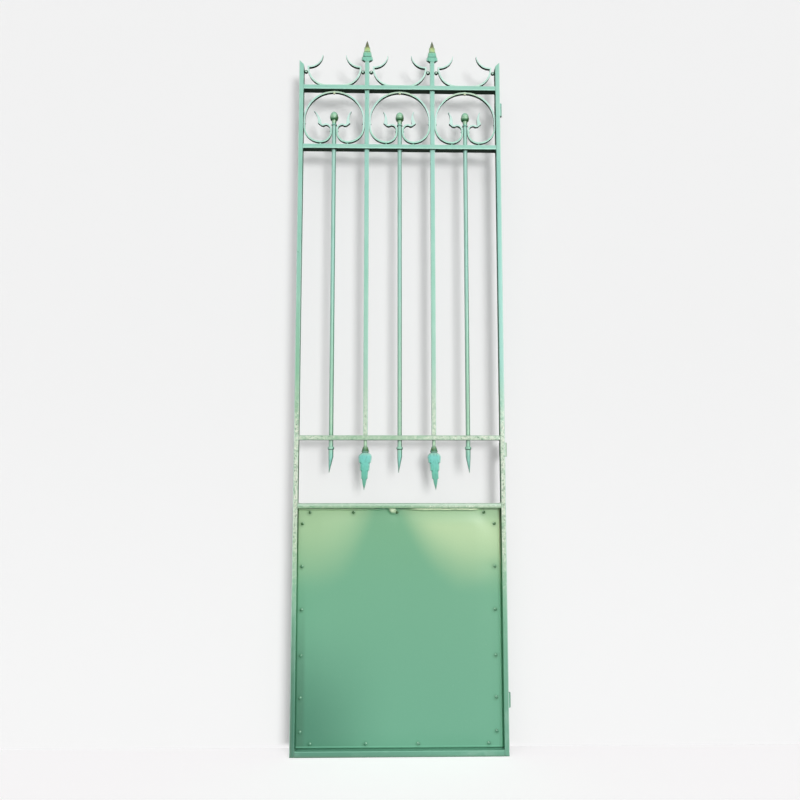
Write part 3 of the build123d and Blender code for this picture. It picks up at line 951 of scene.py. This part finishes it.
# How far from the sheet's edges they are full, and their share right at its top edge
SIDE_RUN, FOOT_RUN, HEAD_RUN = 0.09, 0.05, 0.060
HEAD_START = 0.10
# How the rivets hold the sheet back, and keep the tear off their heads
PIN_REACH, PIN_SHARE = 0.030, 0.9
RIVET_HOLD, RIVET_HOLD_START = 0.0075, 0.6


def swell(x, z):
    """How far the buckled sheet stands forward of flat, in metres."""
    side = min(x - SHEET[0].x, SHEET[1].x - x)
    foot = z - SHEET[0].z
    head = SHEET[1].z - z
    waves = WAVE_MEAN + WAVE_TALL * noise.noise(Vector((x * WAVES_ACROSS, WAVE_SEED, z * WAVES_UP)))
    swells = sum(height * hill(x, z, *place) for height, *place in SWELLS)
    held_edges = smooth(side / SIDE_RUN) * smooth(foot / FOOT_RUN) * smooth(head / HEAD_RUN + HEAD_START)
    bow = (waves + swells) * held_edges
    pinned = 1.0
    for rx, _, rz in RIVETS:
        pinned *= 1 - PIN_SHARE * math.exp(-((x - rx) ** 2 + (z - rz) ** 2) / PIN_REACH ** 2)
    held = smooth(rivet_distance(x, z) / RIVET_HOLD - RIVET_HOLD_START)
    return bow * pinned + LIP_RISE * lip_share(x, z) + TEAR_RISE * tear_share(x, z) * held


# Dirt and painted shadow under a rivet head, thrown to its lower left
HALO_REACH = 0.0080
HALO_SHIFT = 0.0022

# Squares of the sheet's mesh, finer in the strip along its top edge
SHEET_COLUMNS, SHEET_LINES, FINE_LINES = 176, 168, 46
FINE_STRIP = 0.040


def make_sheet():
    """Buckled sheet panel, held back at its rivets, its top edge rolled and torn."""
    fine_from = SHEET[1].z - FINE_STRIP
    levels = [SHEET[0].z + (fine_from - SHEET[0].z) * line / SHEET_LINES for line in range(SHEET_LINES)]
    levels += [fine_from + (SHEET[1].z - fine_from) * line / FINE_LINES for line in range(FINE_LINES + 1)]
    rows = []
    halo, lip = [], []
    for z in levels:
        row = []
        for column in range(SHEET_COLUMNS + 1):
            x = SHEET[0].x + (SHEET[1].x - SHEET[0].x) * column / SHEET_COLUMNS
            row.append((x, SHEET[0].y - swell(x, z), z))
            halo.append(math.exp(-(rivet_distance(x + HALO_SHIFT, z + HALO_SHIFT) / HALO_REACH) ** 2))
            lip.append(max(lip_share(x, z), TEAR_LIP_SHARE * tear_share(x, z)))
        rows.append(row)
    mesh = grid_mesh("buckled_panel", rows)
    add_marks(mesh, "halo", halo)
    add_marks(mesh, "lip", lip)
    piece = new_piece("buckled_panel", mesh, "panel", "panel_sheet")
    solid = piece.modifiers.new("gauge", "SOLIDIFY")
    solid.thickness = SHEET[1].y - SHEET[0].y
    solid.offset = -1.0


RIVET_RADIUS = 0.0055
RIVET_HEIGHT = 0.0034
RIVET_RINGS, RIVET_SIDES = 7, 24
# Power that makes a head's crown flatter than a ball
CROWN_POWER = 0.75


def make_rivets():
    """Hand-closed rivet heads, each a little off round."""
    chance = random.Random(11)
    meshes = []
    for number, (x, y, z) in enumerate(RIVETS):
        radius = RIVET_RADIUS * chance.uniform(0.94, 1.0)
        height = RIVET_HEIGHT * chance.uniform(0.9, 1.0)
        squash = chance.uniform(0.92, 1.0)
        turn = chance.uniform(0, math.pi)
        rows = []
        for ring in range(RIVET_RINGS + 1):
            angle = math.pi / 2 * ring / RIVET_RINGS
            reach = radius * math.cos(angle) ** CROWN_POWER
            line = []
            for side in range(RIVET_SIDES):
                around = 2 * math.pi * side / RIVET_SIDES
                px, pz = reach * math.cos(around), reach * math.sin(around) * squash
                line.append((x + px * math.cos(turn) - pz * math.sin(turn), y - height * math.sin(angle),
                             z + px * math.sin(turn) + pz * math.cos(turn)))
            rows.append(line)
        meshes.append(grid_mesh(f"rivet_{number}", rows, closed=True))
    new_piece("panel_rivet_heads", join_meshes("panel_rivet_heads", meshes), "rivet",
              "panel_rivets")


# Leaf sizes, close to their nodes', and the rings of points that they are made of
AROUND = 32
ROW_STEP = 0.0007
POINT = 0.0005
TOP_LEAF = SimpleNamespace(
    root_half=0.008, root_height=0.009, shoulder=0.008, thickness=0.013, step=0.0026,
    halves=(0.0208, 0.0168, 0.0118, 0.0078), heights=(0.011, 0.019, 0.018, 0.025),
)
DROP_LEAF = SimpleNamespace(
    root_half=0.008, root_height=0.017, shoulder=0.0095, thickness=0.011, step=0.0036,
    halves=(0.0228, 0.0170, 0.0122, 0.0078), heights=(0.019, 0.027, 0.028, 0.038),
)
DROP_LEANS = (-0.0042, 0.0062)
NECK_RADIUS = 0.006
NECK_LENGTH = 0.022
SOCKET_TOP = 0.008
SOCKET_BOTTOM = 0.0132
SOCKET_LENGTH = 0.019
SOCKET_RIM = 0.0012

# How a leaf thins to its point and at each tier's end, and how its tip and its section are rounded
LEAF_TAPER = 0.75
TIER_RELIEF = 0.20
TIP_POWER = 1.55
FLAT_SHARE = 0.66
SECTION_POWER = 0.8

# Marks on a leaf: the height of a notch, and the share of the half width where each mark starts
NOTCH_TALL = 0.0040
RIM_START, NOTCH_START, MARK_RUN = 0.70, 0.52, 0.25


def leaf_section(leaf, t):
    """Half width and half depth of a leaf at a height, and 1 in the notch where a tier starts."""
    length = leaf.root_height + sum(leaf.heights)
    if t < leaf.root_height:
        share = math.sin(math.pi / 2 * t / leaf.root_height)
        half = leaf.shoulder + (leaf.halves[0] - leaf.shoulder) * share
        return half, leaf.root_half + (leaf.thickness / 2 - leaf.root_half) * share, 0.0
    start, index = leaf.root_height, 0
    while index + 1 < len(leaf.heights) and t >= start + leaf.heights[index]:
        start += leaf.heights[index]
        index += 1
    share = min(1.0, (t - start) / leaf.heights[index])
    if index + 1 < len(leaf.halves):
        half = leaf.halves[index] + (leaf.halves[index + 1] + leaf.step - leaf.halves[index]) * share
    else:
        half = leaf.halves[index] * (1 - share ** TIP_POWER)
    taper = 1 - LEAF_TAPER * smooth((t - leaf.root_height) / (length - leaf.root_height))
    depth = leaf.thickness / 2 * taper * (1 - TIER_RELIEF * share)
    open_edge = smooth(1 - (t - start) / NOTCH_TALL) if index else 0.0
    return max(half, POINT), max(depth, POINT), open_edge


def leaf_rows(leaf, foot, up, lean=0.0):
    """Rings of points round a leaf from root to tip, with marks for its rims, part wear and part painted
    highlight, and for its notches, in painted shade.
    """
    length = leaf.root_height + sum(leaf.heights)
    count = int(length / ROW_STEP)
    rows, rim, notch = [], [], []
    for line in range(count + 1):
        t = length * line / count
        half, depth, open_edge = leaf_section(leaf, t)
        row = []
        for step in range(AROUND):
            angle = 2 * math.pi * step / AROUND
            u = math.cos(angle)
            rise = min(1.0, (1 - abs(u)) / (1 - FLAT_SHARE)) ** SECTION_POWER
            y = math.copysign(max(POINT, depth * rise), math.sin(angle) + 1e-9)
            row.append((foot[0] + half * u + lean * t / length, foot[1] + y, foot[2] + up * t))
            rim.append(smooth((abs(u) - RIM_START) / MARK_RUN))
            notch.append(open_edge * smooth((abs(u) - NOTCH_START) / MARK_RUN))
        rows.append(row)
    return rows, rim, notch


def round_rows(centre, radii_and_heights):
    """Rings of a turned part, with as many points as a leaf's."""
    return [
        [(centre[0] + radius * math.cos(2 * math.pi * step / AROUND),
          centre[1] + radius * math.sin(2 * math.pi * step / AROUND), z) for step in range(AROUND)]
        for radius, z in radii_and_heights
    ]


def closed_mesh(name, rows, rim, notch):
    """Closed mesh through rings, with its marks."""
    mesh = grid_mesh(name, rows, closed=True, capped=True)
    add_marks(mesh, "rim", rim)
    add_marks(mesh, "notch", notch)
    outward = bmesh.new()
    outward.from_mesh(mesh)
    bmesh.ops.recalc_face_normals(outward, faces=outward.faces)
    outward.to_mesh(mesh)
    outward.free()
    return mesh


def make_spears():
    """Leaf spears on the square bars and the drop spears under the spear rail."""
    for number in (1, 2):
        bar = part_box(f"square_bar_{number}")
        x = (bar[0].x + bar[1].x) / 2
        name = f"leaf_spear_{number}"
        mesh = closed_mesh(name, *leaf_rows(TOP_LEAF, (x, 0.0, bar[1].z), 1))
        new_piece(name, mesh, "top_spear", f"top_spear_{number}", crease=35)
        root = SPEAR_RAIL[0].z
        socket_top = root - NECK_LENGTH
        socket_bottom = socket_top - SOCKET_LENGTH
        rows = round_rows((x, 0.0), [
            (NECK_RADIUS, root), (NECK_RADIUS, socket_top), (SOCKET_TOP, socket_top - 0.0002),
            (SOCKET_BOTTOM, socket_bottom + SOCKET_RIM), (SOCKET_BOTTOM - 0.0008, socket_bottom),
        ])
        plain = [0.0] * (len(rows) * AROUND)
        leaf, rim, notch = leaf_rows(DROP_LEAF, (x, 0.0, socket_bottom), -1, DROP_LEANS[number - 1])
        name = f"drop_leaf_{number}"
        mesh = closed_mesh(name, rows + leaf, plain + rim, plain + notch)
        new_piece(name, mesh, "drop_spear", f"drop_spear_{number}", crease=35)


# Acorn sizes: a ring, a stem longer than its node's that flares to a cup, and a rounded nut
RING_RADIUS, RING_TOP, RING_ROUNDING = 0.0098, 0.004, 0.0006
STEM_RADIUS, STEM_FLARE, STEM_TOP = 0.0067, 0.0090, 0.0190
CUP_RADIUS, CUP_TOP = 0.0150, 0.0310
RIM_TOP, RIM_INSET, RIM_SLOPE = CUP_TOP + 0.0012, 0.0022, 0.0006
NUT_RADIUS, NUT_FOOT, NUT_TOP = 0.0138, 0.0335, 0.052
NUT_BELLY, NUT_ROUNDING, NUT_TIP = 2.3, 0.62, 0.0008
ACORN_STEPS = 10


def acorn_profile():
    """Radius and height of an acorn from its ring to its tip."""
    profile = [(RING_RADIUS, 0.0), (RING_RADIUS, RING_TOP - RING_ROUNDING),
               (RING_RADIUS - RING_ROUNDING, RING_TOP), (STEM_RADIUS, RING_TOP + 0.0001),
               (STEM_FLARE, STEM_TOP)]
    for step in range(1, ACORN_STEPS + 1):
        share = step / ACORN_STEPS
        bulge = math.sqrt(1 - (1 - share) ** 2)
        radius = STEM_FLARE + (CUP_RADIUS - STEM_FLARE) * bulge
        profile.append((radius, STEM_TOP + (CUP_TOP - STEM_TOP) * share))
    profile += [(CUP_RADIUS, RIM_TOP), (CUP_RADIUS - RIM_INSET, RIM_TOP + RIM_SLOPE),
                (NUT_RADIUS - 0.0012, NUT_FOOT - 0.0004)]
    for step in range(ACORN_STEPS + 1):
        share = step / ACORN_STEPS
        profile.append((max(NUT_TIP, NUT_RADIUS * (1 - share ** NUT_BELLY) ** NUT_ROUNDING),
                        NUT_FOOT + (NUT_TOP - NUT_FOOT) * share))
    return profile


def make_acorns():
    """Turned acorns on the round bars."""
    for number in (1, 2, 3):
        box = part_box(f"acorn_{number}")
        middle = ((box[0].x + box[1].x) / 2, (box[0].y + box[1].y) / 2)
        rows = round_rows(middle, [(radius, box[0].z + height) for radius, height in acorn_profile()])
        plain = [0.0] * (len(rows) * AROUND)
        name = f"turned_acorn_{number}"
        new_piece(name, closed_mesh(name, rows, plain, plain), "finial", f"acorn_{number}",
                  crease=40)


# Unevenness of a weld, and the space between its blobs as a share of their radius
BLOB_LUMPS, LUMP_SCALE = 0.22, 1.7
BLOB_SPACE = 0.9
WELD_RADIUS = 0.0022
WELD_SINK = 0.0005
KNOB_SIZE = (0.0042, 0.0030, 0.0058)
KNOB_BACK, KNOB_DROP = 0.75, 1.25


def blob(centre, size, seed):
    """Lumpy weld blob."""
    shape = bmesh.new()
    bmesh.ops.create_icosphere(shape, subdivisions=2, radius=1.0)
    for vert in shape.verts:
        lump = 1 + BLOB_LUMPS * noise.noise(vert.co * LUMP_SCALE + Vector((seed, 0, 0)))
        vert.co = vert.co * Vector(size) * lump + Vector(centre)
    mesh = bpy.data.meshes.new("blob")
    shape.to_mesh(mesh)
    shape.free()
    return mesh


def weld_run(start, end, radius, seed):
    """Row of overlapping blobs along a joint."""
    start, end = Vector(start), Vector(end)
    count = max(2, int((end - start).length / (radius * BLOB_SPACE)))
    chance = random.Random(seed)
    meshes = []
    for number in range(count + 1):
        size = [radius * chance.uniform(0.8, 1.05) for _ in range(3)]
        meshes.append(blob(start.lerp(end, number / count), size, seed + number * 3.7))
    return meshes


def make_welds():
    """Weld beads where the rails meet the stiles, but not under the bottom rail."""
    meshes = []
    seed = 0
    inset = 2 * WELD_RADIUS
    front, back = LATCH[0].y + inset, LATCH[1].y - inset
    for rail in RAILS:
        for x in (LATCH[1].x + WELD_SINK, HINGE[0].x - WELD_SINK):
            for z in (rail[0].z, rail[1].z):
                seed += 17
                if z > WELD_SINK:
                    meshes += weld_run((x, front, z), (x, back, z), WELD_RADIUS, seed)
    new_piece("weld_beads", join_meshes("weld_beads", meshes), "weld")


def make_knobs():
    """Pale weld knob at the top of each loop."""
    meshes = []
    for number in (1, 2, 3):
        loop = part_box(f"loop_scroll_{number}")
        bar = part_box(f"round_bar_{number}")
        middle = (bar[0].x + bar[1].x) / 2
        centre = (middle, loop[0].y + KNOB_SIZE[1] * KNOB_BACK, loop[1].z - KNOB_SIZE[2] * KNOB_DROP)
        meshes.append(blob(centre, KNOB_SIZE, number * 5.3))
    new_piece("loop_knobs", join_meshes("loop_knobs", meshes), "knob")


# Backdrop: its white as the camera sees it, how much of it a full shadow takes, and its glow at the foot
BACKDROP_WHITE = 0.905
SHADOW_SHARE = 0.66
FOOT_GLOW, GLOW_TALL = 0.030, 1.5
FOOT_FADE = 0.022
STAGE_GREY = 0.42
STAGE_HALF = 6.0
WALL_BEHIND = 0.075
# The light that each part of the stage gets, and its own tint, which on the floor cancels the green light
# that the gate bounces onto it
FLOOR_LIGHT, FLOOR_TINT = 0.575, (1.0, 0.965, 0.985)
WALL_LIGHT, WALL_TINT = 0.985, (1.0, 1.0, 1.0)


def shadow_white(tree, height, light, tint):
    """Diffuse white that takes the shadows, with a glow that lifts it to the backdrop's white."""
    colour = [SHADOW_SHARE * part for part in tint]
    shaded = tree.add("BsdfDiffuse", {"Color": (*colour, 1)})
    foot = tree.fade(height, GLOW_TALL, 0.0)
    strength = tree.plus(tree.times(foot, FOOT_GLOW), BACKDROP_WHITE - SHADOW_SHARE * light)
    glow = tree.add("Emission", {"Color": (1, 1, 1, 1), "Strength": strength})
    both = tree.add("AddShader")
    tree.put(both.inputs[0], shaded.outputs[0])
    tree.put(both.inputs[1], glow.outputs[0])
    return both.outputs[0]


def stage_material(name, light, tint):
    """White for the camera and in reflections, plain grey for other light; the wall has one side only."""
    tree = Nodes(bpy.data.materials.new(name))
    height = tree.axes(tree.place())[2]
    rays = tree.add("LightPath").outputs
    seen = tree.math("ADD", rays["Is Camera Ray"], rays["Is Glossy Ray"], clamp=True)
    seen = tree.math("ADD", seen, rays["Is Transmission Ray"], clamp=True)
    white = shadow_white(tree, height, light, tint)
    if name == "wall":
        bare = tree.add("Emission", {"Color": (1, 1, 1, 1), "Strength": BACKDROP_WHITE + FOOT_GLOW})
        white = tree.mix_shaders(tree.fade(height, FOOT_FADE, 0.0), white, bare.outputs[0])
    grey = tree.add("BsdfDiffuse", {"Color": (STAGE_GREY, STAGE_GREY, STAGE_GREY, 1)})
    surface = tree.mix_shaders(seen, grey.outputs[0], white)
    if name == "wall":
        front_side = tree.less(1.0, tree.add("NewGeometry").outputs["Backfacing"])
        clear = tree.add("BsdfTransparent")
        surface = tree.mix_shaders(tree.times(rays["Is Camera Ray"], front_side), clear.outputs[0], surface)
    tree.add("OutputMaterial", {"Surface": surface})
    return tree.owner


def make_stage():
    """Pale floor, and a wall close behind that only the camera in front can see."""
    half, behind = STAGE_HALF, WALL_BEHIND
    floor = [(-half, -half, 0), (half, -half, 0), (half, half, 0), (-half, half, 0)]
    wall = [(-half, behind, 0), (half, behind, 0), (half, behind, half), (-half, behind, half)]
    for name, light, tint, corners in (
        ("floor", FLOOR_LIGHT, FLOOR_TINT, floor),
        ("wall", WALL_LIGHT, WALL_TINT, wall),
    ):
        mesh = bpy.data.meshes.new(name)
        mesh.from_pydata(corners, [], [(0, 1, 2, 3)])
        obj = new_object(name, mesh)
        mesh.materials.append(stage_material(name, light, tint))


# Soft key a little right of the front and a broad lamp from above: name, angle to the right of the
# gate's front, angle upwards, spread, strength
SUNS = (("key", 20, 12, 24, 2.10), ("sky", -10, 58, 60, 0.90))
AMBIENT = 0.22


def make_sun(name, side_angle, height_angle, spread, strength):
    """Distant lamp in front, with its angles in degrees."""
    light = bpy.data.lights.new(name, "SUN")
    light.angle = math.radians(spread)
    light.energy = strength
    obj = new_object(name, light)
    side, height = math.radians(side_angle), math.radians(height_angle)
    source = Vector((math.sin(side) * math.cos(height), -math.cos(side) * math.cos(height), math.sin(height)))
    obj.rotation_euler = (-source).to_track_quat("-Z", "Y").to_euler()


def make_light():
    """The lamps, and a plain world that is white to the camera and in reflections."""
    for sun in SUNS:
        make_sun(*sun)
    world = bpy.data.worlds.new("studio")
    bpy.context.scene.world = world
    tree = Nodes(world)
    rays = tree.add("LightPath").outputs
    seen = tree.math("MAXIMUM", rays["Is Camera Ray"], rays["Is Glossy Ray"])
    ambient = tree.add("Background", {"Strength": AMBIENT})
    white = tree.add("Background", {"Strength": BACKDROP_WHITE})
    sky = tree.mix_shaders(seen, ambient.outputs[0], white.outputs[0])
    tree.add("OutputWorld", {"Surface": sky})


def make_camera():
    camera = bpy.data.cameras.new("camera")
    camera.lens = CAMERA_LENS
    camera.sensor_width = SENSOR_WIDTH
    obj = new_object("camera", camera)
    obj.location = CAMERA_PLACE
    obj.rotation_euler = (math.pi / 2 + CAMERA_PITCH, 0, -CAMERA_YAW)
    bpy.context.scene.camera = obj


dress_frame()
make_sheet()
make_rivets()
make_spears()
make_acorns()
make_knobs()
make_welds()
make_stage()
make_light()
make_camera()

bpy.context.scene.view_settings.view_transform = "Standard"
